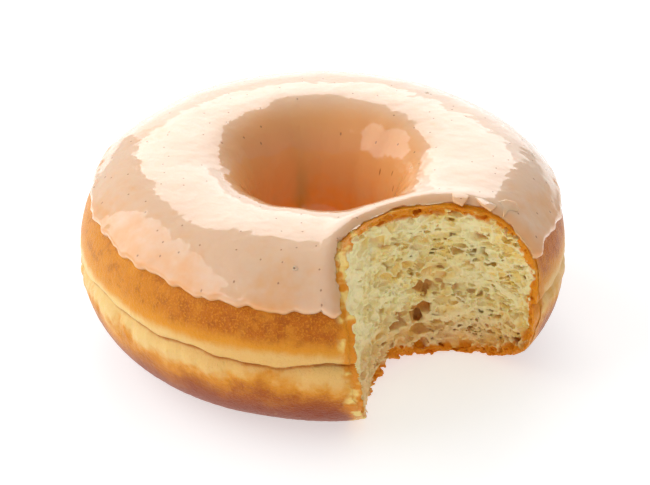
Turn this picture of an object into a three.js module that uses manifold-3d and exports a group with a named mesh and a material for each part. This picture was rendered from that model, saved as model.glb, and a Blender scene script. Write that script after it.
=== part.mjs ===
// A glazed ring doughnut with one bite taken out of it: a dough ring, and the shell of set glaze on its crown.
// Millimetres, +Z up. The origin is the middle of the flat underside, at the hole's centre, and -Y is the front.
import * as THREE from "three";
import { ParametricGeometry } from "three/addons/geometries/ParametricGeometry.js";
import { mergeVertices } from "three/addons/utils/BufferGeometryUtils.js";
import Module from "manifold-3d";

// Driving dimensions of the dough ring.
const OUTER_RADIUS = 46; // at the equator
const DOUGH_HEIGHT = 37.4; // crown above the table, before the glaze
const HOLE_RADIUS = 13.8; // at the throat
const CROWN_RADIUS = 25.6; // where the ring is highest
const EQUATOR_HEIGHT = 18.3; // where the ring is widest
const THROAT_HEIGHT = 20.5; // where the hole is narrowest
const FLAT_SINK = 0.35; // how far the round underside is pressed flat

// How square each quarter of the section is: 2 is an ellipse, and more is boxier.
const SQUARENESS = { outerTop: 2.5, outerBase: 2.2, holeTop: 2.5, holeBase: 2.1 };

// Slow waves round the ring, each a number of crests, a size and a shift. Rise and spread are shares of the mean.
const RISE_WAVES = [
  { crests: 1, size: -0.03, shift: Math.PI / 2 }, // the back of the ring rose more than the front
  { crests: 2, size: 0.006, shift: 0.7 },
];
const SPREAD_WAVES = [
  { crests: 2, size: -0.005, shift: Math.PI / 2 },
  { crests: 3, size: 0.004, shift: 0.8 },
];

// The proof line: a crease all round the pale band, where the two fried halves meet.
const CREASE_HEIGHT = 19.2;
const CREASE_DEPTH = 1.1;
const CREASE_HALF_WIDTH = 2.6;
const CREASE_WAVES = [
  { crests: 5, size: 0.5, shift: 0 },
  { crests: 11, size: 0.3, shift: 1 },
];

// The glaze shell.
const GLAZE_THICKNESS = 1.0;
const GLAZE_CLEARANCE = 0.3; // kept between the shell and the dough
const GLAZE_OUTER_EDGE = THREE.MathUtils.degToRad(31); // section angle of the outer hem, from the equator
const GLAZE_HOLE_EDGE = THREE.MathUtils.degToRad(194); // section angle of the hem inside the hole
const HEM_WAVES = [
  { crests: 3, size: 0.024, shift: 0.4 },
  { crests: 7, size: 0.015, shift: 0.8 },
  { crests: 16, size: 0.017, shift: 1.2 }, // short drips
];
const HOLE_HEM_LAG = 1.7; // turns the inner hem's waves away from the outer hem's

// The bite: the arches of the two jaws, with the lower one set further in, and slow waves that square them off.
const UPPER_JAW = { x: 23.0, y: -44.9, radius: 23.5 };
const LOWER_JAW = { x: 21.5, y: -30.0, radius: 17.9 };
const BITE_WAVES = [
  { crests: 2, size: 4.1, shift: -1.73, lean: 0.6 }, // the lean shifts a wave from the upper jaw to the lower one
  { crests: 3, size: 0.8, shift: -0.38, lean: -0.3 },
];
const TEAR_DEPTH = 1.2; // the crumb gives way a little deeper at mid height
const BITE_MARGIN = 4; // the bite runs this far past the top and the underside

// Fineness of the faceted solids.
const TURN_STEPS = 72;
const SECTION_STEPS = 30;
const SECTION_CROWDING = 0.45; // section steps lie closer together near the crease
const GLAZE_STEPS = 15;
const BITE_STEPS = 64;
const BITE_LEVELS = 7;
const MERGE_DISTANCE = 1e-3;

const FULL_TURN = Math.PI * 2;
const wasm = await Module();
wasm.setup();

function sumWaves(turn, waves) {
  return waves.reduce((sum, wave) => sum + wave.size * Math.sin(wave.crests * turn + wave.shift), 0);
}

// One point of the dough's section as [radius, height]. The angle runs from the equator (0) over the crown (a
// quarter turn), down through the throat (half a turn) and back under the base. Each quarter is a superellipse.
function doughSection(angle) {
  const c = Math.cos(angle);
  const s = Math.sin(angle);
  const outside = c >= 0;
  const above = s >= 0;
  const quarter = (outside ? "outer" : "hole") + (above ? "Top" : "Base");
  const power = 2 / SQUARENESS[quarter];
  const sideRadius = outside ? OUTER_RADIUS : HOLE_RADIUS;
  const sideHeight = outside ? EQUATOR_HEIGHT : THROAT_HEIGHT;
  const endHeight = above ? DOUGH_HEIGHT : -FLAT_SINK;
  const radius = CROWN_RADIUS + (sideRadius - CROWN_RADIUS) * Math.abs(c) ** power;
  const height = sideHeight + (endHeight - sideHeight) * Math.abs(s) ** power;
  return [radius, Math.max(height, 0)];
}

// The same section pushed outwards along its own normal.
function offsetSection(angle, distance) {
  const step = 0.01;
  const [r0, z0] = doughSection(angle - step);
  const [r1, z1] = doughSection(angle + step);
  const length = Math.hypot(r1 - r0, z1 - z0);
  const [radius, height] = doughSection(angle);
  return [radius + (distance * (z1 - z0)) / length, height - (distance * (r1 - r0)) / length];
}

// Puts a section point on the ring. A turn of 0 is the front, and turns grow towards +X.
function placeOnRing(radius, height, turn, target) {
  const r = radius * (1 + sumWaves(turn, SPREAD_WAVES));
  target.set(r * Math.sin(turn), -r * Math.cos(turn), height * (1 + sumWaves(turn, RISE_WAVES)));
}

// The crease pulls the outside of the ring in along a gently wandering line.
function creasePull(height, turn) {
  const line = CREASE_HEIGHT + sumWaves(turn, CREASE_WAVES);
  const away = Math.min(Math.abs(height - line) / CREASE_HALF_WIDTH, 1);
  return CREASE_DEPTH * (1 - away) ** 2;
}

function makeDoughRing() {
  return new ParametricGeometry(
    (u, v, target) => {
      const turn = u * FULL_TURN;
      const angle = v * FULL_TURN - SECTION_CROWDING * Math.sin(v * FULL_TURN);
      const [radius, height] = doughSection(angle);
      const pull = radius > CROWN_RADIUS ? creasePull(height, turn) : 0;
      placeOnRing(radius - pull, height, turn, target);
    },
    TURN_STEPS,
    SECTION_STEPS,
  );
}

// The shell goes over the crown on its outer face and comes back along its inner face, and both meet at the hems.
function makeGlazeShell() {
  const middle = GLAZE_CLEARANCE + GLAZE_THICKNESS / 2;
  return new ParametricGeometry(
    (u, v, target) => {
      const turn = u * FULL_TURN;
      const outerHem = GLAZE_OUTER_EDGE + sumWaves(turn, HEM_WAVES);
      const holeHem = GLAZE_HOLE_EDGE + sumWaves(turn + HOLE_HEM_LAG, HEM_WAVES);
      const overTop = v <= 0.5;
      const along = (overTop ? v : 1 - v) * 2;
      const fromHem = Math.min(1, Math.min(along, 1 - along) * GLAZE_STEPS);
      const halfThickness = (GLAZE_THICKNESS / 2) * fromHem;
      const [radius, height] = offsetSection(
        outerHem + (holeHem - outerHem) * along,
        middle + (overTop ? halfThickness : -halfThickness),
      );
      placeOnRing(radius, height, turn, target);
    },
    TURN_STEPS,
    2 * GLAZE_STEPS,
  );
}

// The space that the teeth took: a turned solid whose wall leans from the upper jaw to the lower one.
function makeBite() {
  const low = -BITE_MARGIN;
  const high = DOUGH_HEIGHT + GLAZE_THICKNESS + 2 * BITE_MARGIN;
  const outline = [new THREE.Vector2(0, low)];
  for (let i = 0; i <= BITE_LEVELS; i++) {
    outline.push(new THREE.Vector2(1, THREE.MathUtils.lerp(low, high, i / BITE_LEVELS)));
  }
  outline.push(new THREE.Vector2(0, high));
  const turned = new THREE.LatheGeometry(outline, BITE_STEPS);
  turned.rotateX(Math.PI / 2); // the turning axis becomes Z
  const position = turned.getAttribute("position");
  for (let i = 0; i < position.count; i++) {
    const x = position.getX(i);
    const y = position.getY(i);
    const z = position.getZ(i);
    const rise = THREE.MathUtils.clamp(z / DOUGH_HEIGHT, 0, 1);
    const angle = Math.atan2(y, x);
    const waves = BITE_WAVES.map((wave) => ({ ...wave, shift: wave.shift + wave.lean * (1 - rise) }));
    const jaw = THREE.MathUtils.lerp(LOWER_JAW.radius, UPPER_JAW.radius, rise);
    const reach = jaw + TEAR_DEPTH * Math.sin(Math.PI * rise) + sumWaves(angle, waves);
    const middleX = THREE.MathUtils.lerp(LOWER_JAW.x, UPPER_JAW.x, rise);
    const middleY = THREE.MathUtils.lerp(LOWER_JAW.y, UPPER_JAW.y, rise);
    position.setXYZ(i, middleX + reach * x, middleY + reach * y, z);
  }
  return turned;
}

// A closed mesh as a solid of the boolean library, with its shared vertices merged and its faces pointing out.
function toSolid(geometry) {
  const plain = new THREE.BufferGeometry();
  plain.setAttribute("position", geometry.getAttribute("position"));
  plain.setIndex(geometry.index);
  const merged = mergeVertices(plain, MERGE_DISTANCE);
  const corners = [];
  for (let i = 0; i < merged.index.count; i += 3) {
    const [a, b, c] = merged.index.array.subarray(i, i + 3);
    if (a !== b && b !== c && c !== a) corners.push(a, b, c); // a pole leaves faces with no area
  }
  const triVerts = new Uint32Array(corners);
  const vertProperties = merged.getAttribute("position").array;
  const make = () => new wasm.Manifold(new wasm.Mesh({ numProp: 3, vertProperties, triVerts }));
  const solid = make();
  if (solid.volume() > 0) return solid;
  triVerts.reverse(); // turns every face round
  return make();
}

function toGeometry(solid) {
  const { vertProperties, numProp, triVerts } = solid.getMesh();
  const corners = new THREE.InterleavedBuffer(vertProperties, numProp);
  const geometry = new THREE.BufferGeometry();
  geometry.setAttribute("position", new THREE.InterleavedBufferAttribute(corners, 3, 0));
  geometry.setIndex(new THREE.BufferAttribute(triVerts, 1));
  const faceted = geometry.toNonIndexed();
  faceted.computeVertexNormals();
  return faceted;
}

function makePiece(name, solid, finish) {
  const mesh = new THREE.Mesh(toGeometry(solid), new THREE.MeshStandardMaterial(finish));
  mesh.name = name;
  return mesh;
}

const bite = toSolid(makeBite());
const friedDough = { color: 0xc98a3e, roughness: 0.6, metalness: 0 };
const setGlaze = { color: 0xf0dccb, roughness: 0.15, metalness: 0 };

const doughnut = new THREE.Group();
doughnut.add(makePiece("dough", toSolid(makeDoughRing()).subtract(bite), friedDough));
doughnut.add(makePiece("glaze", toSolid(makeGlazeShell()).subtract(bite), setGlaze));

export default doughnut;
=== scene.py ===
"""A bitten glazed ring doughnut: a fried crust, the open crumb at the bite and a shell of set glaze.

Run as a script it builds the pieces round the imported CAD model, in metres, with -Y as the front.
"""

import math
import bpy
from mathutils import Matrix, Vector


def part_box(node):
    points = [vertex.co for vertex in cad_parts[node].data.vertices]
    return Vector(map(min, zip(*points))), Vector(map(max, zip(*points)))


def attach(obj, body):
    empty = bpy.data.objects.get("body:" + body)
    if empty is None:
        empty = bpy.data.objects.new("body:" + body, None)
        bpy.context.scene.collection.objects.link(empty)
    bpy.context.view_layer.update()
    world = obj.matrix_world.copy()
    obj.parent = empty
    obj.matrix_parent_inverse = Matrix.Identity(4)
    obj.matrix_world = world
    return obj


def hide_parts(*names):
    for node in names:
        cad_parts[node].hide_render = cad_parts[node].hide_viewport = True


bl_info = {
    "name": "Bitten doughnut",
    "version": (1, 0, 0),
    "blender": (4, 5, 0),
    "location": "View3D > Sidebar > Doughnut",
    "description": "Builds a glazed ring doughnut with one bite out of it",
    "category": "Add Mesh",
}

import bpy
import numpy as np
from mathutils import Vector

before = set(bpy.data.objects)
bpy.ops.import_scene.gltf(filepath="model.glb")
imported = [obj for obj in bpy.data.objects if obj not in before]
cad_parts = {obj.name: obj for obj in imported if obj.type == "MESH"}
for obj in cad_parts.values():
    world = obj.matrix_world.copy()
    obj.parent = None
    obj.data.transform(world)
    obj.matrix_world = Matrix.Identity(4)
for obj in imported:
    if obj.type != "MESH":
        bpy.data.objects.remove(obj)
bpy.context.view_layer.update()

MM = 0.001
FULL_TURN = 2 * math.pi

# ---- The ring's form. Heights and radii follow the CAD dough; the other places are shares of them.
DOUGH_LOW, DOUGH_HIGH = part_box("dough")
GLAZE_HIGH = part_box("glaze")[1]
TALLEST_RISE = 1.032  # the highest place of the rise waves
OUTER_RADIUS = (DOUGH_HIGH.x - DOUGH_LOW.x) / 2 - 0.1 * MM
DOUGH_HEIGHT = DOUGH_HIGH.z / TALLEST_RISE
HOLE_RADIUS = 0.3 * OUTER_RADIUS
CROWN_RADIUS = 0.5565 * OUTER_RADIUS
EQUATOR_HEIGHT = 0.4893 * DOUGH_HEIGHT
THROAT_HEIGHT = 0.548 * DOUGH_HEIGHT
FLAT_SINK = 0.35 * MM

# How square each quarter of the section is: 2 is an ellipse, and more is boxier.
OUTER_TOP = 2.5
OUTER_BASE = 2.2
HOLE_TOP = 2.5
HOLE_BASE = 2.1

# Slow waves round the ring: crests, size and shift of each.
RISE_WAVES = ((1, -0.03, math.pi / 2), (2, 0.006, 0.7))
SPREAD_WAVES = ((2, -0.005, math.pi / 2), (3, 0.004, 0.8))
CREASE_HEIGHT = 19.2 * MM
CREASE_DEPTH = 1.3 * MM
CREASE_HALF_WIDTH = 2.6 * MM
CREASE_WAVES = ((5, 0.5 * MM, 0), (11, 0.32 * MM, 1), (23, 0.22 * MM, 2.1), (47, 0.1 * MM, 0.6))

# ---- The bite: the arches of the two jaws, as place and radius, and slow waves that square them off.
UPPER_JAW = (23.0 * MM, -44.9 * MM, 23.5 * MM)
LOWER_JAW = (21.5 * MM, -30.0 * MM, 17.9 * MM)
BITE_WAVES = (  # crests, size, shift, and the lean of each wave from the upper jaw to the lower one
    (2, 4.1 * MM, -1.73, 0.6),
    (3, 0.8 * MM, -0.38, -0.3),
)
TEAR_DEPTH = 1.2 * MM

# ---- Crust and crumb.
CRUST_THICKNESS = 0.75 * MM
CRUMB_INSET = 0.12 * MM  # how far the crumb stays under the skin, inside the crust
POCKET_DEPTH = 6.5 * MM
MOST_TRIANGLES = 196000  # in one piece
CRUST_STEPS = (540, 150)  # round the ring and round the section
CRUST_FINE = (math.radians(-85), math.radians(45), 3.0)  # the rows between these angles are 3 times finer
POCKET_STEPS = (180, 72)
FOAM_FAMILIES = (
    # spacing, depth of the deepest cells, share of the wall that they leave closed, seed
    (3.2 * MM, 3.0 * MM, 0.5, 3.0),
    (1.9 * MM, 2.0 * MM, 0.43, 7.0),
    (1.1 * MM, 0.9 * MM, 0.3, 11.0),
)
FOAM_RISE = 0.9 * MM  # the closed places stand in front of the bite's mean wall
HOLE_SPACING = 4.4 * MM
CELL_STRETCH = (0.62, 0.75, 1.15)  # less than 1 draws the cells out along that axis
SMOOTH_WALL = (3.5 * MM, 12 * MM)  # the left wall was pressed smooth, and opens up between these places
CRUMB_BLOCKS = (  # the crumb is made in two blocks that share a face
    ("crumb_side", (-4 * MM, -46.3 * MM, 0.2 * MM), (8.5 * MM, -9 * MM, 38.6 * MM)),
    ("crumb_back", (8.4 * MM, -31 * MM, 0.2 * MM), (46 * MM, 0.5 * MM, 38.6 * MM)),
)

# ---- Glaze.
GLAZE_THICKNESS = 0.95 * MM
GLAZE_SHIFT = -0.5 * MM  # the glaze broke off further at the left of the bite, and overhangs at its right
GLAZE_SINK = 0.15 * MM  # how far the glaze's inner face lies inside the crust
OUTER_HEM = math.radians(31)  # section angles, from the equator over the crown
HOLE_HEM = math.radians(196)
HEM_WAVES = (
    (1, 0.044, -2.88),
    (3, 0.014, 0.4),
    (7, 0.012, 0.8),
    (16, 0.014, 1.2),
    (39, 0.011, 0.3),
    (61, 0.010, 2.0),
    (97, 0.006, 0.9),
)
HEM_DRIPS = ((0.035, 0.07, 0.05), (1.06, 0.05, 0.06))  # turn, drop of the section angle, half width
HOLE_HEM_LAG = 1.7  # turns the inner hem's waves away from the outer hem's
GLAZE_LENGTH = 52 * MM  # about the length of the glaze's section, from hem to hem
HEM_ROUNDING = 0.8 * MM
LIP_ROUNDING = 1.9 * MM  # at the bite
GLAZE_TURN_STEPS = 580
GLAZE_OUTER_ROWS = 124
GLAZE_INNER_ROWS = 30
SPECK_SPACING = 3.6 * MM  # of the pinholes in the glaze
BUBBLE_COUNT = 13
BUBBLE_DEGREES = (50, 96)  # section angles of the burst bubbles, all on the crown
BUBBLE_RADII = (0.25 * MM, 0.45 * MM)
BUBBLE_CLEARANCE = 3 * MM  # kept between a bubble and the bite
BUBBLE_SEED = 3
FLAKES = (  # turn, section angle, half width, tilt and corners of the plates of glaze that cracked loose
    (0.97, 80, 1.7 * MM, 0.14, 6), (1.02, 70, 2.2 * MM, -0.14, 5), (1.09, 60, 1.7 * MM, 0.16, 7),
)

# ---- Edges at the bite.
EDGE_GROWTH = 0.3 * MM  # how far crust and glaze broke back behind the crumb
CRUST_EDGE_SEED = 5.0
GLAZE_EDGE_SEED = 9.0
GLAZE_RAGGED_SHARE = 0.7  # the glaze broke off cleaner than the crust
BITE_BELOW = 4 * MM  # how far the tool runs past the underside and past the glaze
BITE_ABOVE = 6 * MM

# ---- Stage.
FLOOR_SIZE = 6
WORLD_STRENGTH = 0.56
PANEL_LIGHTS = (  # name, place, aim, width, height, radiance
    ("high back", (0.03, 0.8, 0.63), (0.03, 0, 0.63), 0.72, 0.6, 2.9),
    ("low back", (0.03, 0.8, 0.165), (0.03, 0, 0.165), 0.72, 0.33, 1.1),
    ("left side", (-0.75, 0, 0.55), (0, 0, 0.1), 1.2, 0.75, 2.0),
)
CAMERA_TARGET = Vector((0, 0, 19.3 * MM))
CAMERA_DISTANCE = 504.7 * MM
CAMERA_ELEVATION = math.radians(29)
CAMERA_LENS = 146.1
CAMERA_SHIFT = (0.0018, -0.0034)


def paint(red, green, blue):
    """A colour given as on a paint chart, from 0 to 255, as the linear numbers that a shader takes."""
    def linear(part):
        share = part / 255
        return share / 12.92 if share <= 0.04045 else ((share + 0.055) / 1.055) ** 2.4
    return tuple(linear(part) for part in (red, green, blue))


# ---- Node trees as arithmetic --------------------------------------------------------------------


class Socket:
    """A node's output. Arithmetic on it adds Math nodes to the same tree."""

    __array_ufunc__ = None  # numbers of numpy leave the arithmetic to this class

    def __init__(self, nodes, node, output):
        self.nodes = nodes
        self.node = node
        self.output = output

    def other(self, name):
        """Another output of the same node."""
        return Socket(self.nodes, self.node, self.node.outputs[name])

    def __add__(self, value):
        return self.nodes.math("ADD", self, value)

    def __radd__(self, value):
        return self.nodes.math("ADD", value, self)

    def __sub__(self, value):
        return self.nodes.math("SUBTRACT", self, value)

    def __rsub__(self, value):
        return self.nodes.math("SUBTRACT", value, self)

    def __mul__(self, value):
        return self.nodes.math("MULTIPLY", self, value)

    def __rmul__(self, value):
        return self.nodes.math("MULTIPLY", value, self)

    def __truediv__(self, value):
        return self.nodes.math("DIVIDE", self, value)

    def __rtruediv__(self, value):
        return self.nodes.math("DIVIDE", value, self)


class Nodes:
    """Adds nodes to one shader or geometry tree."""

    def __init__(self, tree):
        self.tree = tree

    def add(self, kind, settings=None, inputs=None, output=0):
        """A new node: its settings are set first, then its sockets get their values or links."""
        node = self.tree.nodes.new(kind)
        for name, value in (settings or {}).items():
            setattr(node, name, value)
        for name, value in (inputs or {}).items():
            if isinstance(value, Socket):
                self.tree.links.new(value.output, node.inputs[name])
            else:
                node.inputs[name].default_value = value
        return Socket(self, node, node.outputs[output] if len(node.outputs) else None)

    def math(self, operation, *values):
        return self.add("ShaderNodeMath", {"operation": operation}, dict(enumerate(values)))

    def vector(self, operation, *values):
        return self.add("ShaderNodeVectorMath", {"operation": operation}, dict(enumerate(values)))

    def join(self, x, y, z):
        return self.add("ShaderNodeCombineXYZ", None, {0: x, 1: y, 2: z})

    def split(self, vector):
        parts = self.add("ShaderNodeSeparateXYZ", None, {0: vector})
        return parts, parts.other(1), parts.other(2)

    def mix(self, share, first, second):
        """A colour between two colours."""
        settings = {"data_type": "RGBA", "clamp_factor": True}
        return self.add("ShaderNodeMix", settings, {0: share, 6: as_colour(first), 7: as_colour(second)}, 2)

    def noise(self, place, scale, detail=2.0, roughness=0.5):
        inputs = {"Vector": place, "Scale": scale, "Detail": detail, "Roughness": roughness}
        return self.add("ShaderNodeTexNoise", None, inputs)

    def cells(self, place, scale, feature="F1", dimensions="3D"):
        settings = {"feature": feature, "voronoi_dimensions": dimensions}
        return self.add("ShaderNodeTexVoronoi", settings, {"Vector": place, "Scale": scale})

    def ramp(self, value, low, high, first=0.0, last=1.0):
        """Goes smoothly from first to last while the value goes from low to high."""
        inputs = {"Value": value, "From Min": low, "From Max": high, "To Min": first, "To Max": last}
        return self.add("ShaderNodeMapRange", {"interpolation_type": "SMOOTHSTEP"}, inputs)


def as_colour(value):
    return value if isinstance(value, Socket) else (*value, 1)


# ---- Formulas that take numbers, arrays of numbers or node sockets alike -------------------------


def apply_function(array_function, operation, *values):
    for value in values:
        if isinstance(value, Socket):
            return value.nodes.math(operation, *values)
    return array_function(*values)


def sine(value):
    return apply_function(np.sin, "SINE", value)


def magnitude(value):
    return apply_function(np.abs, "ABSOLUTE", value)


def power(value, exponent):
    return apply_function(np.power, "POWER", value, exponent)


def direction(y, x):
    return apply_function(np.arctan2, "ARCTAN2", y, x)


def smaller(first, second):
    return apply_function(np.minimum, "MINIMUM", first, second)


def larger(first, second):
    return apply_function(np.maximum, "MAXIMUM", first, second)


def is_above(value, limit):
    return apply_function(np.greater, "GREATER_THAN", value, limit)


def length(x, y):
    return power(x * x + y * y, 0.5)


def between(first, second, share):
    return first + (second - first) * share


def choose(condition, when_true, when_false):
    return when_false + condition * (when_true - when_false)


def sum_waves(turn, waves):
    """The sum of sine waves, each given as crests, size and shift."""
    total = 0.0
    for crests, size, shift in waves:
        total = total + size * sine(crests * turn + shift)
    return total


def crease_line(turn):
    """Height of the crease round the pale band. A turn of 0 is the front, and turns grow towards +X."""
    return CREASE_HEIGHT + sum_waves(turn, CREASE_WAVES)


def crease_pull(height, turn):
    """How far the crease pulls the ring's outside in: steep above the line, soft below it."""
    below = (crease_line(turn) - height) / CREASE_HALF_WIDTH
    above = (height - crease_line(turn)) / (0.45 * CREASE_HALF_WIDTH)
    away = smaller(magnitude(larger(below, above)), 1.0)
    left = 1.0 - away
    return CREASE_DEPTH * left * left


def ring_place(x, y, z):
    """Section radius, section height and turn of a point, with the ring's slow waves taken out."""
    turn = direction(x, -1.0 * y)
    radius = length(x, y) / (1.0 + sum_waves(turn, SPREAD_WAVES))
    height = z / (1.0 + sum_waves(turn, RISE_WAVES))
    return radius, height, turn


def along_ring(nodes, radius, height, turn, squeeze):
    """A place for noise that is drawn out down the ring's section, without a seam at the back."""
    across = (height + radius) * squeeze
    return nodes.join(sine(turn) * OUTER_RADIUS, sine(turn + math.pi / 2) * OUTER_RADIUS, across)


def skin_depth(x, y, z):
    """How deep a point lies under the dough's smooth outer surface, nearly a distance."""
    radius, height, turn = ring_place(x, y, z)
    outside = is_above(radius, CROWN_RADIUS)
    radius = radius + outside * crease_pull(height, turn)
    middle = choose(outside, EQUATOR_HEIGHT, THROAT_HEIGHT)
    above = is_above(height, middle)
    across = magnitude(radius - CROWN_RADIUS)
    up = magnitude(height - middle)
    half_width = choose(outside, OUTER_RADIUS - CROWN_RADIUS, CROWN_RADIUS - HOLE_RADIUS)
    half_height = choose(above, DOUGH_HEIGHT - middle, middle + FLAT_SINK)
    squareness = choose(outside, choose(above, OUTER_TOP, OUTER_BASE), choose(above, HOLE_TOP, HOLE_BASE))
    total = power(across / half_width, squareness) + power(up / half_height, squareness)
    share = power(larger(total, 1e-6), 1.0 / squareness)
    return length(across, up) * (1.0 / share - 1.0)


def bite_depth(x, y, z):
    """How far a point lies behind the wall of the bite."""
    rise = smaller(larger(z / DOUGH_HEIGHT, 0.0), 1.0)
    from_jaw_x = x - between(LOWER_JAW[0], UPPER_JAW[0], rise)
    from_jaw_y = y - between(LOWER_JAW[1], UPPER_JAW[1], rise)
    return length(from_jaw_x, from_jaw_y) - bite_reach(direction(from_jaw_y, from_jaw_x), rise)


def bite_reach(angle, rise):
    """How far the wall of the bite lies from the middle of the jaws."""
    waves = [(crests, size, shift + lean * (1.0 - rise)) for crests, size, shift, lean in BITE_WAVES]
    jaw = between(LOWER_JAW[2], UPPER_JAW[2], rise)
    return jaw + TEAR_DEPTH * sine(math.pi * rise) + sum_waves(angle, waves)


# ---- The dough's section, for making meshes ------------------------------------------------------


def section(angle):
    """Radius and height of the section at an angle that runs from the equator over the crown and the hole."""
    c = np.cos(angle)
    s = np.sin(angle)
    outside = c >= 0
    above = s >= 0
    outer_squareness = np.where(above, OUTER_TOP, OUTER_BASE)
    squareness = np.where(outside, outer_squareness, np.where(above, HOLE_TOP, HOLE_BASE))
    side_radius = np.where(outside, OUTER_RADIUS, HOLE_RADIUS)
    side_height = np.where(outside, EQUATOR_HEIGHT, THROAT_HEIGHT)
    end_height = np.where(above, DOUGH_HEIGHT, -FLAT_SINK)
    radius = CROWN_RADIUS + (side_radius - CROWN_RADIUS) * np.abs(c) ** (2 / squareness)
    height = side_height + (end_height - side_height) * np.abs(s) ** (2 / squareness)
    return radius, np.maximum(height, 0)


def section_normal(angle):
    """The outward direction of the section, as parts along radius and height."""
    step = 0.01
    radius_before, height_before = section(angle - step)
    radius_after, height_after = section(angle + step)
    along_radius = radius_after - radius_before
    along_height = height_after - height_before
    size = np.hypot(along_radius, along_height)
    return along_height / size, -along_radius / size


def place_on_ring(radius, height, turn):
    """A point of the section, put on the ring with the ring's slow waves."""
    wide = radius * (1 + sum_waves(turn, SPREAD_WAVES))
    high = height * (1 + sum_waves(turn, RISE_WAVES))
    return np.stack([wide * np.sin(turn), -wide * np.cos(turn), high], axis=-1)


def even_angles(count, first, last, fine_from=0.0, fine_to=0.0, fineness=1.0):
    """Section angles from first to last, evenly spaced along the surface, or closer in one stretch."""
    angles = np.linspace(first, last, 4001)
    radius, height = section(angles)
    steps = np.hypot(np.diff(radius), np.diff(height))
    middles = (angles[1:] + angles[:-1]) / 2
    steps *= np.where((middles > fine_from) & (middles < fine_to), fineness, 1.0)
    travelled = np.concatenate([[0], np.cumsum(steps)])
    return np.interp(np.linspace(0, travelled[-1], count), travelled, angles)


# ---- Making and finishing pieces -----------------------------------------------------------------


def select_only(piece):
    bpy.ops.object.select_all(action="DESELECT")
    piece.select_set(True)
    bpy.context.view_layer.objects.active = piece


def get_points(mesh):
    """The mesh's points as rows of X, Y and Z."""
    points = np.empty(len(mesh.vertices) * 3)
    mesh.vertices.foreach_get("co", points)
    return points.reshape(-1, 3)


def set_points(mesh, points):
    mesh.vertices.foreach_set("co", np.ascontiguousarray(points, dtype=np.float32).ravel())
    mesh.update()


def add_ring(name, turn_steps, section_steps, shape):
    """A flat grid rolled up into a ring. shape(turn, row) places its points; rows go round the section."""
    bpy.ops.object.select_all(action="DESELECT")
    bpy.ops.mesh.primitive_grid_add(x_subdivisions=turn_steps, y_subdivisions=section_steps, size=1)
    ring = bpy.context.object
    ring.name = name
    ring.data.name = name
    points = get_points(ring.data)
    turn = np.rint((points[:, 0] + 0.5) * turn_steps) % turn_steps * (FULL_TURN / turn_steps)
    row = np.rint((points[:, 1] + 0.5) * section_steps).astype(int) % section_steps
    set_points(ring.data, shape(turn, row))
    bpy.ops.object.mode_set(mode="EDIT")
    bpy.ops.mesh.select_all(action="SELECT")
    bpy.ops.mesh.remove_doubles(threshold=1e-7)
    bpy.ops.mesh.normals_make_consistent(inside=False)
    bpy.ops.object.mode_set(mode="OBJECT")
    return ring


def run_nodes(piece, name, build):
    """Runs a Geometry Nodes tree on a piece and applies it. build gets the nodes and the geometry."""
    tree = bpy.data.node_groups.new(name, "GeometryNodeTree")
    tree.interface.new_socket("Geometry", in_out="INPUT", socket_type="NodeSocketGeometry")
    tree.interface.new_socket("Geometry", in_out="OUTPUT", socket_type="NodeSocketGeometry")
    nodes = Nodes(tree)
    incoming = nodes.add("NodeGroupInput")
    nodes.add("NodeGroupOutput", None, {0: build(nodes, incoming)})
    modifier = piece.modifiers.new(name, "NODES")
    modifier.node_group = tree
    select_only(piece)
    bpy.ops.object.modifier_apply(modifier=name)
    bpy.data.node_groups.remove(tree)


def push_out(nodes, geometry, amount):
    """Moves every point along its normal."""
    normal = nodes.add("GeometryNodeInputNormal")
    offset = nodes.vector("SCALE", normal)
    nodes.tree.links.new(amount.output, offset.node.inputs["Scale"])
    return nodes.add("GeometryNodeSetPosition", None, {"Geometry": geometry, "Offset": offset})


def cut(piece, tool, operation="DIFFERENCE"):
    modifier = piece.modifiers.new("Cut", "BOOLEAN")
    modifier.operation = operation
    modifier.solver = "MANIFOLD"
    modifier.object = tool
    select_only(piece)
    bpy.ops.object.modifier_apply(modifier="Cut")


def remove(piece):
    """Takes a tool out of the scene once it has cut."""
    mesh = piece.data
    bpy.data.objects.remove(piece)
    bpy.data.meshes.remove(mesh)


def finish_piece(piece, material, slot, *stands_for):
    if len(piece.data.polygons) == 0:
        raise RuntimeError(f"{piece.name} has no faces")
    piece.data.materials.clear()
    piece.data.materials.append(material)
    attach(piece, "root")
    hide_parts(*stands_for)


def smooth(piece, angle=50):
    select_only(piece)
    bpy.ops.object.shade_smooth_by_angle(angle=math.radians(angle))


# ---- Tools that cut the bite ---------------------------------------------------------------------


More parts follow.
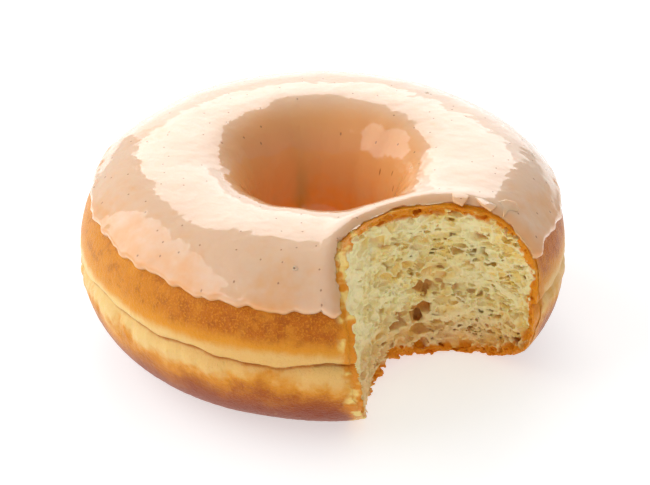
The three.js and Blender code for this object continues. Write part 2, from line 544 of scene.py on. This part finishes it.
def add_bite_tool(grow, ragged, seed, shift=0.0, rows=44, columns=300):
    """The space that the teeth took, grown outwards, shifted along X and with a wall as ragged as given."""
    low = -BITE_BELOW
    high = GLAZE_HIGH.z + BITE_ABOVE
    bpy.ops.object.select_all(action="DESELECT")
    bpy.ops.mesh.primitive_cylinder_add(vertices=columns, radius=1, depth=1, end_fill_type="NGON")
    tool = bpy.context.object
    bpy.ops.object.mode_set(mode="EDIT")
    bpy.ops.mesh.select_all(action="SELECT")
    for row in range(1, rows):
        bpy.ops.mesh.bisect(plane_co=(0, 0, row / rows - 0.5), plane_no=(0, 0, 1))
        bpy.ops.mesh.select_all(action="SELECT")
    bpy.ops.object.mode_set(mode="OBJECT")
    points = get_points(tool.data)
    angle = np.arctan2(points[:, 1], points[:, 0])
    height = low + (high - low) * (points[:, 2] + 0.5)
    rise = np.clip(height / DOUGH_HEIGHT, 0, 1)
    reach = bite_reach(angle, rise) + grow
    x = shift + between(LOWER_JAW[0], UPPER_JAW[0], rise) + reach * np.cos(angle)
    y = between(LOWER_JAW[1], UPPER_JAW[1], rise) + reach * np.sin(angle)
    set_points(tool.data, np.stack([x, y, height], axis=-1))
    if ragged:
        def roughen(nodes, geometry):
            place = nodes.vector("ADD", nodes.add("GeometryNodeInputPosition"), (seed, 0, 0))
            broad = nodes.noise(place, 150.0, detail=1.0) - 0.5
            coarse = nodes.noise(place, 420.0, detail=2.0) - 0.5
            fine = nodes.noise(place, 1400.0, detail=1.0) - 0.5
            return push_out(nodes, geometry, ragged * (broad * 2.4 + coarse * 2.0 + fine * 0.9))
        run_nodes(tool, "Ragged wall", roughen)
    return tool


# ---- The pieces ----------------------------------------------------------------------------------


def lumps(nodes, place):
    """Low swellings that crust and glaze share."""
    return (nodes.noise(place, 60.0, detail=1.0) - 0.5) * (0.7 * MM)


def make_crust():
    """The fried skin all round, still whole and solid, with its crease, folds and wrinkles."""
    angles = even_angles(CRUST_STEPS[1] + 1, -math.pi, math.pi, *CRUST_FINE)[:-1]

    def shape(turn, row):
        angle = angles[row]
        radius, height = section(angle)
        pull = np.where(radius > CROWN_RADIUS, crease_pull(height, turn), 0)
        return place_on_ring(radius - pull, height, turn)

    crust = add_ring("crust", *CRUST_STEPS, shape)

    def relief(nodes, geometry):
        place = nodes.add("GeometryNodeInputPosition")
        x, y, z = nodes.split(place)
        radius, height, turn = ring_place(x, y, z)
        along = along_ring(nodes, radius, height, turn, 0.35)
        wrinkles = (nodes.noise(along, 900.0, detail=2.0, roughness=0.6) - 0.5) * (0.22 * MM)
        grain = (nodes.noise(place, 1300.0, detail=1.0) - 0.5) * (0.10 * MM)
        under_crease = nodes.ramp(magnitude(height - CREASE_HEIGHT + 2.6 * MM), 0.8 * MM, 3.4 * MM, 1.0, 0.0)
        away = nodes.ramp(bite_depth(x, y, z), 1.0 * MM, 5.0 * MM)
        folds = (nodes.noise(along, 330.0, detail=2.0) - 0.5) * (1.7 * MM) * under_crease * away
        off_table = nodes.ramp(z, 0.1 * MM, 1.5 * MM)
        return push_out(nodes, geometry, (lumps(nodes, place) + wrinkles + grain + folds) * off_table)

    run_nodes(crust, "Crust relief", relief)
    return crust


def make_pocket():
    """The space inside the crust, next to the bite, that the open crumb fills."""
    def shape(turn, row):
        angle = row / POCKET_STEPS[1] * FULL_TURN
        radius, height = section(angle)
        out_radius, out_height = section_normal(angle)
        radius = radius - np.where(radius > CROWN_RADIUS, crease_pull(height, turn), 0)
        inner_radius = radius - out_radius * CRUST_THICKNESS
        inner_height = height - out_height * CRUST_THICKNESS
        return place_on_ring(inner_radius, inner_height, turn)

    pocket = add_ring("pocket", *POCKET_STEPS, shape)
    tool = add_bite_tool(POCKET_DEPTH, 0, 0, rows=8, columns=120)
    cut(pocket, tool, "INTERSECT")
    remove(tool)
    return pocket


def torn_wall(nodes, place, x, y, z):
    """How far a point lies behind the torn surface of the crumb."""
    layered = nodes.vector("MULTIPLY", place, (0.5, 0.7, 1.0))
    broad = (nodes.noise(layered, 150.0, detail=1.0) - 0.5) * (3.4 * MM)
    ledges = (nodes.noise(layered, 480.0, detail=3.0, roughness=0.65) - 0.5) * (2.0 * MM)
    return bite_depth(x, y, z) + broad + ledges


def make_crumb(name, low, high, voxel):
    """One block of open crumb: cells of three sizes sunk into a torn wall, and larger holes."""
    bpy.ops.object.select_all(action="DESELECT")
    bpy.ops.mesh.primitive_cube_add(size=0.01)
    crumb = bpy.context.object
    crumb.name = name
    crumb.data.name = name

    def fill(nodes, geometry):
        place = nodes.add("GeometryNodeInputPosition")
        x, y, z = nodes.split(place)
        inside = skin_depth(x, y, z) + lumps(nodes, place) - CRUMB_INSET
        behind = torn_wall(nodes, place, x, y, z)
        warp = nodes.noise(place, 260.0, detail=2.0).other(1)
        warped = nodes.vector("MULTIPLY_ADD", warp, (2.2 * MM, 2.2 * MM, 1.8 * MM), place)
        squashed = nodes.vector("MULTIPLY", warped, CELL_STRETCH)
        openness = nodes.ramp(x, *SMOOTH_WALL, 0.15, 1.0)
        sunk = 0.0
        for spacing, deepest, closed, seed in FOAM_FAMILIES:
            shifted = nodes.vector("ADD", squashed, (seed, seed, 0))
            wall = nodes.cells(shifted, 1 / spacing, "DISTANCE_TO_EDGE")
            cluster = nodes.noise(shifted, 0.4 / spacing, detail=0.0)
            is_open = nodes.ramp(cluster, closed, closed + 0.14)
            sunk = larger(sunk, deepest * is_open * nodes.ramp(wall, 0.03, 0.24))
        near_skin = nodes.ramp(inside, 0.1 * MM, 1.0 * MM)
        by_the_skin = nodes.ramp(inside, 0.6 * MM, 2.2 * MM, 2.6 * MM, 0.0)
        frayed = (nodes.noise(place, 650.0, detail=2.0) - 0.5) * by_the_skin
        torn = behind + FOAM_RISE - sunk * openness * near_skin + frayed
        solid = nodes.math("SMOOTH_MIN", inside, torn, 0.2 * MM)
        hole = nodes.cells(nodes.vector("ADD", squashed, (19.0, 0, 0)), 1 / HOLE_SPACING)
        hole_size = HOLE_SPACING * between(0.02, 0.4, power(nodes.split(hole.other(1))[0], 2.2))
        keep = larger(behind - 3.0 * MM, 0.0) + larger(1.4 * MM - inside, 0.0) + (1.0 - openness) * (1.4 * MM)
        solid = nodes.math("SMOOTH_MIN", solid, hole * HOLE_SPACING - hole_size + keep, 0.2 * MM)
        back = POCKET_DEPTH + 0.3 * MM - bite_depth(x, y, z)
        density = smaller(solid, back) / MM
        count = [round((high[axis] - low[axis]) / voxel) for axis in range(3)]
        volume = nodes.add("GeometryNodeVolumeCube", None, {
            "Density": density, "Background": -1.0, "Min": low, "Max": high,
            "Resolution X": count[0], "Resolution Y": count[1], "Resolution Z": count[2],
        })
        to_mesh = {"Volume": volume, "Threshold": 0.0, "Adaptivity": 0.0}
        return nodes.add("GeometryNodeVolumeToMesh", None, to_mesh)

    run_nodes(crumb, "Open crumb", fill)
    return crumb


def note_pits(piece):
    """Stores on each point how far it lies behind the torn surface, in millimetres, for the finish to use."""
    def store(nodes, geometry):
        place = nodes.add("GeometryNodeInputPosition")
        pit = torn_wall(nodes, place, *nodes.split(place)) / MM
        settings = {"data_type": "FLOAT", "domain": "POINT"}
        return nodes.add(
            "GeometryNodeStoreNamedAttribute", settings, {"Geometry": geometry, "Name": "pit", "Value": pit}
        )

    run_nodes(piece, "Pits", store)


def keep_largest(piece):
    """Drops every loose bit but the largest: sealed bubbles and floating specks."""
    mesh = piece.data
    count = len(mesh.vertices)
    edges = np.empty(len(mesh.edges) * 2, dtype=np.int64)
    mesh.edges.foreach_get("vertices", edges)
    edges = edges.reshape(-1, 2)
    label = np.arange(count)
    while True:
        least = np.minimum(label[edges[:, 0]], label[edges[:, 1]])
        new = label.copy()
        np.minimum.at(new, edges[:, 0], least)
        np.minimum.at(new, edges[:, 1], least)
        new = new[new]
        if np.array_equal(new, label):
            break
        label = new
    largest = np.bincount(label).argmax()
    select_only(piece)
    bpy.ops.object.mode_set(mode="EDIT")
    bpy.ops.mesh.select_mode(type="VERT")
    bpy.ops.object.mode_set(mode="OBJECT")
    mesh.vertices.foreach_set("select", label != largest)
    bpy.ops.object.mode_set(mode="EDIT")
    bpy.ops.mesh.delete(type="VERT")
    bpy.ops.object.mode_set(mode="OBJECT")


def thin_out(piece, most_triangles):
    """Brings a piece down to a number of triangles."""
    triangles = sum(len(face.vertices) - 2 for face in piece.data.polygons)
    if triangles > most_triangles:
        modifier = piece.modifiers.new("Thin out", "DECIMATE")
        modifier.ratio = most_triangles / triangles
        select_only(piece)
        bpy.ops.object.modifier_apply(modifier="Thin out")


def make_glaze():
    """The shell of glaze, with rounded hems, a rounded lip at the bite and runs in the hole."""
    rows = GLAZE_OUTER_ROWS + GLAZE_INNER_ROWS
    outer_share = even_angles(GLAZE_OUTER_ROWS, OUTER_HEM, HOLE_HEM)
    outer_share = (outer_share - OUTER_HEM) / (HOLE_HEM - OUTER_HEM)
    inner_share = np.linspace(1, 0, GLAZE_INNER_ROWS + 2)[1:-1]
    share_of_row = np.concatenate([outer_share, inner_share])
    is_outer = np.arange(rows) < GLAZE_OUTER_ROWS

    def shape(turn, row):
        first = OUTER_HEM + sum_waves(turn, HEM_WAVES)
        for drip_turn, drop, half_width in HEM_DRIPS:
            first = first - drop * np.exp(-(((turn - drip_turn) / half_width) ** 2))
        last = HOLE_HEM + sum_waves(turn + HOLE_HEM_LAG, HEM_WAVES)
        share = share_of_row[row]
        angle = first + (last - first) * share
        radius, height = section(angle)
        out_radius, out_height = section_normal(angle)
        from_hem = np.minimum(share, 1 - share) * GLAZE_LENGTH
        round_off = np.sqrt(1 - (1 - np.minimum(from_hem / HEM_ROUNDING, 1)) ** 2)
        bead = 0.25 * MM * np.exp(-(((from_hem - 1.2 * MM) / (0.9 * MM)) ** 2))
        flat = place_on_ring(radius, height, turn)
        from_bite = bite_depth(flat[:, 0] - GLAZE_SHIFT, flat[:, 1], flat[:, 2]) - EDGE_GROWTH
        round_off = round_off * np.sqrt(1 - (1 - np.clip(from_bite / LIP_ROUNDING, 0.03, 1)) ** 2)
        bead = bead + 0.2 * MM * np.exp(-(((from_bite - 2.4 * MM) / (1.6 * MM)) ** 2))
        outer_lift = (GLAZE_THICKNESS + GLAZE_SINK + bead) * round_off - GLAZE_SINK
        lift = np.where(is_outer[row], outer_lift, -GLAZE_SINK)
        return place_on_ring(radius + out_radius * lift, height + out_height * lift, turn)

    glaze = add_ring("glaze_shell", GLAZE_TURN_STEPS, rows, shape)

    def relief(nodes, geometry):
        place = nodes.add("GeometryNodeInputPosition")
        ripples = (nodes.noise(place, 140.0, detail=1.5) - 0.5) * (0.2 * MM)
        dimples = (nodes.noise(place, 520.0, detail=1.0) - 0.5) * (0.1 * MM)
        radius, height, turn = ring_place(*nodes.split(place))
        down = along_ring(nodes, radius, height, turn, 0.3)
        in_hole = nodes.ramp(radius, CROWN_RADIUS - 7 * MM, CROWN_RADIUS - 2 * MM, 1.0, 0.0)
        runs = (nodes.noise(down, 42.0, detail=1.0) - 0.5) * (1.6 * MM) * in_hole
        return push_out(nodes, geometry, lumps(nodes, place) + ripples + dimples + runs)

    run_nodes(glaze, "Glaze relief", relief)
    return glaze


def stand_on_glaze(piece, turn, degrees, lift):
    """Turns a piece that lies flat at the origin so that it lies on the glaze, and moves it there."""
    angle = np.array([math.radians(degrees)])
    radius, height = section(angle)
    out_radius, out_height = section_normal(angle)
    place = place_on_ring(radius + out_radius * lift, height + out_height * lift, np.array([turn]))[0]
    up = Vector((out_radius[0] * math.sin(turn), -out_radius[0] * math.cos(turn), out_height[0]))
    piece.data.transform(up.to_track_quat("Z", "Y").to_matrix().to_4x4())
    set_points(piece.data, get_points(piece.data) + place)


def join(pieces, name):
    bpy.ops.object.select_all(action="DESELECT")
    for piece in pieces:
        piece.select_set(True)
    bpy.context.view_layer.objects.active = pieces[0]
    bpy.ops.object.join()
    pieces[0].name = name
    pieces[0].data.name = name
    return pieces[0]


def make_bubbles():
    """Low rims of the bubbles that burst while the glaze set."""
    random = np.random.default_rng(BUBBLE_SEED)
    rims = []
    while len(rims) < BUBBLE_COUNT:
        turn = random.uniform(-math.pi, math.pi)
        degrees = random.uniform(*BUBBLE_DEGREES)
        radius = random.uniform(*BUBBLE_RADII)
        place = place_on_ring(*section(math.radians(degrees)), turn)
        if bite_depth(*place) < BUBBLE_CLEARANCE:
            continue
        bpy.ops.object.select_all(action="DESELECT")
        bpy.ops.mesh.primitive_torus_add(
            major_radius=radius, minor_radius=0.3 * radius, major_segments=32, minor_segments=12
        )
        rim = bpy.context.object
        stand_on_glaze(rim, turn, degrees, GLAZE_THICKNESS - 0.12 * MM)
        rims.append(rim)
    return join(rims, "glaze_bubbles")


def make_flakes():
    """Plates of glaze that cracked at the bite and lie askew."""
    random = np.random.default_rng(4)
    plates = []
    for turn, degrees, half_width, tilt, corners in FLAKES:
        bpy.ops.object.select_all(action="DESELECT")
        bpy.ops.mesh.primitive_cylinder_add(vertices=corners, radius=half_width, depth=0.55 * GLAZE_THICKNESS)
        plate = bpy.context.object
        points = get_points(plate.data)
        stretch = 1 + 0.3 * random.standard_normal(corners)
        around = np.rint(np.arctan2(points[:, 1], points[:, 0]) / (FULL_TURN / corners)).astype(int) % corners
        points[:, :2] *= stretch[around][:, None]
        points[:, 2] += points[:, 0] * tilt
        set_points(plate.data, points)
        bevel = plate.modifiers.new("Broken edge", "BEVEL")
        bevel.width = 0.2 * GLAZE_THICKNESS
        bevel.segments = 3
        select_only(plate)
        bpy.ops.object.modifier_apply(modifier="Broken edge")
        stand_on_glaze(plate, turn, degrees, GLAZE_THICKNESS)
        plates.append(plate)
    return join(plates, "glaze_flakes")


# ---- Finishes ------------------------------------------------------------------------------------


def new_material(name):
    material = bpy.data.materials.new(name)
    material.use_nodes = True
    material.node_tree.nodes.clear()
    return material, Nodes(material.node_tree)


def finish_material(nodes, inputs):
    surface = nodes.add("ShaderNodeBsdfPrincipled", None, inputs)
    nodes.add("ShaderNodeOutputMaterial", None, {"Surface": surface})


def make_dough_finish(colours):
    """One finish for crust and crumb, told apart by how deep a point lies under the skin. Light and shade are
    painted in too: the crust paler on the left, the crease darker, the crumb paler on its ridges and left
    wall and amber in its pits and low down.
    """
    material, nodes = new_material("fried dough")
    place = nodes.add("ShaderNodeTexCoord", None, None, "Object")
    x, y, z = nodes.split(place)
    radius, height, turn = ring_place(x, y, z)
    depth = skin_depth(x, y, z)
    blotches = nodes.noise(place, 130.0, detail=3.0, roughness=0.6)
    mottle = nodes.noise(place, 420.0, detail=3.0, roughness=0.6)
    grain = nodes.noise(place, 2600.0, detail=3.0, roughness=0.7)
    streak_place = along_ring(nodes, radius, height, turn, 0.3)
    streaks = nodes.noise(streak_place, 700.0, detail=3.0, roughness=0.65)
    level = height + (blotches - 0.5) * (2.0 * MM) + (mottle - 0.5) * (1.2 * MM)
    level = level + (streaks - 0.5) * (0.8 * MM)
    low_level = level + (blotches - 0.5) * (8.0 * MM) + (mottle - 0.5) * (3.0 * MM)
    # Painted light: the crust is mixed towards golden on the left, where the left lamp falls.
    brown = nodes.mix(nodes.ramp(x, -44 * MM, -14 * MM, 0.75, 0.0), colours.brown_crust, colours.golden_crust)
    patches = nodes.noise(place, 240.0, detail=2.0)
    brown = nodes.mix(nodes.ramp(patches, 0.5, 0.7, 0.0, 0.5), brown, colours.golden_crust)
    brown = nodes.mix(nodes.ramp(mottle, 0.48, 0.66, 0.0, 0.35), brown, colours.dark_crust)
    brown = nodes.mix(nodes.ramp(grain, 0.5, 0.62, 0.0, 0.55), brown, colours.golden_crust)
    upper = nodes.mix(nodes.ramp(level, 22.5 * MM, 25.5 * MM), colours.golden_crust, brown)
    band_top = nodes.ramp(level, 20.8 * MM, 22.8 * MM)
    lower = nodes.mix(nodes.ramp(low_level, 11.0 * MM, 15.5 * MM), brown, colours.golden_crust)
    lower = nodes.mix(nodes.ramp(low_level, 6.5 * MM, 15.5 * MM, 1.0, 0.0), lower, colours.dark_crust)
    band_base = nodes.ramp(low_level, 14.0 * MM, 17.2 * MM)
    # Painted light: the pale band is kept palest on the left, where the left lamp falls, and turns more
    # golden away from it.
    band = nodes.mix(nodes.ramp(x, -44 * MM, -12 * MM, 0.0, 0.35), colours.pale_band, colours.golden_crust)
    outer = nodes.mix(band_top, nodes.mix(band_base, lower, band), upper)
    in_hole = nodes.ramp(radius, CROWN_RADIUS - 6 * MM, CROWN_RADIUS, 1.0, 0.0)
    skin = nodes.mix(in_hole, outer, colours.brown_crust)
    chips = nodes.noise(place, 330.0, detail=2.0) + nodes.ramp(x, 4 * MM, 12 * MM, -0.02, 0.12)
    broken = nodes.mix(nodes.ramp(chips, 0.38, 0.52), colours.crumb, colours.oily_crumb)
    from_bite = bite_depth(x, y, z) + (patches - 0.5) * (5.0 * MM)
    skin = nodes.mix(nodes.ramp(from_bite, 0.4 * MM, 2.4 * MM, 0.9, 0.0), skin, broken)
    # Painted shade: the crust is darkened to brown in a thin line along the crease, where shade falls in the
    # fold.
    from_crease = magnitude(height - crease_line(turn)) + (1.0 - is_above(radius, CROWN_RADIUS)) * (9 * MM)
    skin = nodes.mix(nodes.ramp(from_crease, 0.1 * MM, 0.6 * MM, 0.7, 0.0), skin, colours.brown_crust)
    pit = nodes.add("ShaderNodeAttribute", {"attribute_name": "pit"}, None, "Fac")
    crumb = nodes.mix(nodes.ramp(blotches, 0.35, 0.65), colours.crumb, colours.pale_crumb_and_painted_light)
    # Painted light: the crumb's ridges, which stand in front of the torn surface, are made paler.
    crumb = nodes.mix(nodes.ramp(pit, -1.0, -0.1, 0.9, 0.0), crumb, colours.pale_crumb_and_painted_light)
    # Painted light: the smooth left wall of the bite is made paler, as it faces the lamp.
    crumb = nodes.mix(nodes.ramp(x, *SMOOTH_WALL, 0.8, 0.0), crumb, colours.pale_crumb_and_painted_light)
    # Painted shade: the crumb turns amber deep in its pits.
    crumb = nodes.mix(nodes.ramp(pit, 0.0, 2.0, 0.0, 0.55), crumb, colours.painted_shade_amber)
    # Painted shade: the crumb turns amber towards the bottom.
    crumb = nodes.mix(nodes.ramp(height, 3.0 * MM, 15.0 * MM, 0.4, 0.0), crumb, colours.painted_shade_amber)
    soaked = nodes.ramp(chips, 0.46, 0.66, 0.0, 1.6 * MM)
    into = nodes.ramp(depth + (mottle - 0.5) * (1.4 * MM) - soaked, 0.2 * MM, 1.3 * MM)
    under_skin = nodes.mix(nodes.ramp(depth, 0.25 * MM, 0.8 * MM), skin, colours.oily_crumb)
    colour = nodes.mix(into, under_skin, crumb)
    fine = nodes.noise(place, 1500.0, detail=3.0, roughness=0.6)
    relief = streaks * 0.8 + fine + grain * 0.9
    bump = nodes.add("ShaderNodeBump", None, {"Strength": 0.9, "Distance": 0.3 * MM, "Height": relief})
    finish_material(nodes, {
        "Base Color": colour,
        "Roughness": nodes.ramp(depth, 0.8 * MM, 2.0 * MM, 0.3, 0.6),
        "Normal": bump,
        "Specular IOR Level": 0.2,
        "Subsurface Weight": 0.35,
        "Subsurface Radius": (1.0, 0.5, 0.15),
        "Subsurface Scale": 0.0015,
    })
    return material


def make_glaze_finish(colours):
    """Cloudy sugar glaze, thinner and browner down its sides and in the hole, with pinholes. Its whiter crown
    is partly a painted highlight, its browner lip at the bite is partly painted shade, and the orange deep in
    the hole is partly painted shade and bounce light.
    """
    material, nodes = new_material("set glaze")
    place = nodes.add("ShaderNodeTexCoord", None, None, "Object")
    x, y, z = nodes.split(place)
    radius, height, turn = ring_place(x, y, z)
    clouds = nodes.noise(place, 75.0, detail=3.0, roughness=0.55)
    cloudy = (clouds - 0.5) * (26 * MM) + (nodes.noise(place, 420.0, detail=2.0) - 0.5) * (9 * MM)
    # Whiter crown, tan sides: partly thicker glaze on the crown, partly a painted highlight on it.
    side = nodes.ramp(height + cloudy, 24 * MM, 37 * MM)
    outer = nodes.mix(side, colours.thin_glaze, colours.glaze)
    # Orange deeper in the hole: partly crust showing through thin glaze, partly painted shade and orange
    # bounce light.
    hole = nodes.ramp(height + cloudy, 12 * MM, 29 * MM)
    inner = nodes.mix(hole, colours.throat_with_painted_bounce, colours.thin_glaze)
    in_hole = nodes.ramp(radius, 0.36 * OUTER_RADIUS, 0.5 * OUTER_RADIUS, 1.0, 0.0)
    colour = nodes.mix(in_hole, outer, inner)
    speck = nodes.cells(place, 1 / SPECK_SPACING, dimensions="2D")
    is_speck = is_above(nodes.split(speck.other(1))[0], 0.55) * is_above(height, 0.75 * DOUGH_HEIGHT)
    speck_share = nodes.ramp(speck * SPECK_SPACING, 0.08 * MM, 0.24 * MM, 1.0, 0.0) * is_speck
    # Browner lip at the bite: partly thinner glaze, partly painted shade on the broken edge that the light
    # reaches less.
    thin_lip_and_painted_shade = nodes.ramp(bite_depth(x, y, z), 0.6 * MM, 3.0 * MM, 0.5, 0.0)
    colour = nodes.mix(thin_lip_and_painted_shade, colour, colours.thin_glaze)
    colour = nodes.mix(speck_share * 0.7, colour, colours.speck)
    streaked = nodes.vector("MULTIPLY", place, (1.0, 1.0, 0.5))
    ripples = nodes.noise(place, 240.0, detail=2.0) + nodes.noise(streaked, 900.0, detail=2.0) * 0.26
    relief = ripples - speck_share * 0.5
    bump = nodes.add("ShaderNodeBump", None, {"Strength": 0.4, "Distance": 0.5 * MM, "Height": relief})
    finish_material(nodes, {
        "Base Color": colour,
        "Roughness": 0.25,
        "Normal": bump,
        "Specular IOR Level": 0.1,
        "Subsurface Weight": 0.5,
        "Subsurface Radius": (1.0, 0.6, 0.35),
        "Subsurface Scale": 0.0015,
        "Coat Weight": 1.0,
        "Coat Roughness": 0.025,
    })
    return material


def make_floor_finish(colours):
    material, nodes = new_material("pale floor")
    finish_material(nodes, {
        "Base Color": (*colours.floor, 1),
        "Roughness": 0.9,
        "Specular IOR Level": 0.1,
        "Emission Color": (1, 1, 1, 1),
        "Emission Strength": 0.55,
    })
    return material


# ---- Settings, operators and panel ---------------------------------------------------------------


def colour_setting(name, description, default):
    return bpy.props.FloatVectorProperty(
        name=name, description=description, default=default, subtype="COLOR", min=0, max=1
    )


class DoughnutColours(bpy.types.PropertyGroup):
    brown_crust: colour_setting("Brown crust", "Well-fried crust under the glaze", paint(194, 104, 2))
    dark_crust: colour_setting("Dark crust", "Crust that lay longest in the oil", paint(146, 60, 0))
    golden_crust: colour_setting("Golden crust", "Crust next to the pale band", paint(230, 152, 36))
    pale_band: colour_setting("Pale band", "Dough that floated above the oil", paint(242, 206, 134))
    oily_crumb: colour_setting("Oily crumb", "Dough soaked with oil, under the crust", paint(228, 142, 20))
    # Painted shade: the crumb's colour deep in its pits and towards its bottom.
    painted_shade_amber: colour_setting("Amber", "Crumb deep inside the cells", paint(224, 138, 22))
    crumb: colour_setting("Crumb", "Open crumb", paint(255, 220, 128))
    # A paler crumb tone, also used as painted light on the crumb's ridges and on the smooth left wall.
    pale_crumb_and_painted_light: colour_setting("Pale crumb", "Brightest webs of the crumb", paint(255, 240, 188))
    # Partly thicker glaze, partly a painted highlight: the crown is whiter where it mirrors the lamps.
    glaze: colour_setting("Glaze", "Thick glaze on the crown", paint(230, 190, 156))
    thin_glaze: colour_setting("Thin glaze", "Glaze that the crust shows through", paint(230, 164, 100))
    # Partly crust showing through thin glaze, partly painted shade and orange bounce light deep in the hole.
    throat_with_painted_bounce: colour_setting("Throat", "Glaze deep inside the hole", paint(246, 150, 46))
    speck: colour_setting("Speck", "Pinholes in the glaze", paint(150, 92, 50))
    floor: colour_setting("Floor", "The pale floor", paint(210, 210, 210))


class DoughnutSizes(bpy.types.PropertyGroup):
    voxel: bpy.props.FloatProperty(
        name="Crumb grain", description="Fineness of the crumb's mesh", default=0.24 * MM, unit="LENGTH"
    )
    raggedness: bpy.props.FloatProperty(
        name="Raggedness", description="How torn the crust's edge is", default=1.2 * MM, unit="LENGTH"
    )


class DOUGHNUT_OT_crust(bpy.types.Operator):
    """Make the fried crust with its crease, wrinkles and bitten edge"""

    bl_idname = "doughnut.crust"
    bl_label = "Crust"

    def execute(self, context):
        crust = make_crust()
        tool = add_bite_tool(EDGE_GROWTH, context.scene.doughnut_sizes.raggedness, CRUST_EDGE_SEED)
        cut(crust, tool)
        remove(tool)
        pocket = make_pocket()
        cut(crust, pocket)
        remove(pocket)
        smooth(crust)
        finish = make_dough_finish(context.scene.doughnut_colours)
        finish_piece(crust, finish, "fried_dough", "dough")
        return {"FINISHED"}


class DOUGHNUT_OT_crumb(bpy.types.Operator):
    """Make the open crumb that shows at the bite"""

    bl_idname = "doughnut.crumb"
    bl_label = "Crumb"

    def execute(self, context):
        for name, low, high in CRUMB_BLOCKS:
            crumb = make_crumb(name, low, high, context.scene.doughnut_sizes.voxel)
            keep_largest(crumb)
            thin_out(crumb, MOST_TRIANGLES)
            note_pits(crumb)
            smooth(crumb, 70)
            finish_piece(crumb, bpy.data.materials["fried dough"], "fried_dough", "dough")
        return {"FINISHED"}


class DOUGHNUT_OT_glaze(bpy.types.Operator):
    """Make the shell of set glaze with its wavy hems and broken edge"""

    bl_idname = "doughnut.glaze"
    bl_label = "Glaze"

    def execute(self, context):
        glaze = make_glaze()
        ragged = context.scene.doughnut_sizes.raggedness * GLAZE_RAGGED_SHARE
        tool = add_bite_tool(EDGE_GROWTH, ragged, GLAZE_EDGE_SEED, GLAZE_SHIFT)
        cut(glaze, tool)
        remove(tool)
        smooth(glaze)
        finish = make_glaze_finish(context.scene.doughnut_colours)
        finish_piece(glaze, finish, "set_glaze", "glaze")
        for trim in (make_bubbles(), make_flakes()):
            smooth(trim)
            finish_piece(trim, finish, "set_glaze", "glaze")
        return {"FINISHED"}


def add_panel_light(name, place, aim, width, height, radiance):
    light = bpy.data.lights.new(name, "AREA")
    light.shape = "RECTANGLE"
    light.size = width
    light.size_y = height
    light.energy = radiance * math.pi * width * height
    lamp = bpy.data.objects.new(name, light)
    bpy.context.scene.collection.objects.link(lamp)
    lamp.location = place
    lamp.rotation_euler = (Vector(aim) - Vector(place)).to_track_quat("-Z", "Y").to_euler()


class DOUGHNUT_OT_stage(bpy.types.Operator):
    """Add the pale floor, the studio light and the camera"""

    bl_idname = "doughnut.stage"
    bl_label = "Stage"

    def execute(self, context):
        scene = context.scene
        bpy.ops.object.select_all(action="DESELECT")
        bpy.ops.mesh.primitive_plane_add(size=FLOOR_SIZE)
        floor = context.object
        floor.name = "floor"
        floor.data.materials.append(make_floor_finish(scene.doughnut_colours))
        world = bpy.data.worlds.new("studio")
        world.use_nodes = True
        world.node_tree.nodes["Background"].inputs["Color"].default_value = (1, 1, 1, 1)
        world.node_tree.nodes["Background"].inputs["Strength"].default_value = WORLD_STRENGTH
        scene.world = world
        for panel in PANEL_LIGHTS:
            add_panel_light(*panel)
        camera_data = bpy.data.cameras.new("camera")
        camera_data.sensor_width = 36
        camera_data.lens = CAMERA_LENS
        camera_data.shift_x = CAMERA_SHIFT[0]
        camera_data.shift_y = CAMERA_SHIFT[1]
        camera_data.clip_start = 0.01
        camera = bpy.data.objects.new("camera", camera_data)
        scene.collection.objects.link(camera)
        backwards = Vector((0, -math.cos(CAMERA_ELEVATION), math.sin(CAMERA_ELEVATION)))
        camera.location = CAMERA_TARGET + CAMERA_DISTANCE * backwards
        camera.rotation_euler = (CAMERA_TARGET - camera.location).to_track_quat("-Z", "Y").to_euler()
        scene.camera = camera
        scene.view_settings.view_transform = "Standard"
        return {"FINISHED"}


OPERATORS = (DOUGHNUT_OT_stage, DOUGHNUT_OT_crust, DOUGHNUT_OT_crumb, DOUGHNUT_OT_glaze)


class DOUGHNUT_PT_panel(bpy.types.Panel):
    """Lists the doughnut's settings and the buttons that build it"""

    bl_idname = "DOUGHNUT_PT_panel"
    bl_label = "Bitten doughnut"
    bl_space_type = "VIEW_3D"
    bl_region_type = "UI"
    bl_category = "Doughnut"

    def draw(self, context):
        for settings in (context.scene.doughnut_sizes, context.scene.doughnut_colours):
            for name in settings.bl_rna.properties.keys():
                if name not in ("name", "rna_type"):
                    self.layout.prop(settings, name)
        for operator in OPERATORS:
            self.layout.operator(operator.bl_idname)


CLASSES = (DoughnutColours, DoughnutSizes, *OPERATORS, DOUGHNUT_PT_panel)


def register():
    """Registers the classes and the settings that the scene holds."""
    for item in CLASSES:
        bpy.utils.register_class(item)
    bpy.types.Scene.doughnut_colours = bpy.props.PointerProperty(type=DoughnutColours)
    bpy.types.Scene.doughnut_sizes = bpy.props.PointerProperty(type=DoughnutSizes)


def unregister():
    del bpy.types.Scene.doughnut_sizes
    del bpy.types.Scene.doughnut_colours
    for item in reversed(CLASSES):
        bpy.utils.unregister_class(item)


def main():
    """Builds the stage and the pieces."""
    register()
    bpy.ops.doughnut.stage()
    bpy.ops.doughnut.crust()
    bpy.ops.doughnut.crumb()
    bpy.ops.doughnut.glaze()


if __name__ == "__main__":
    main()
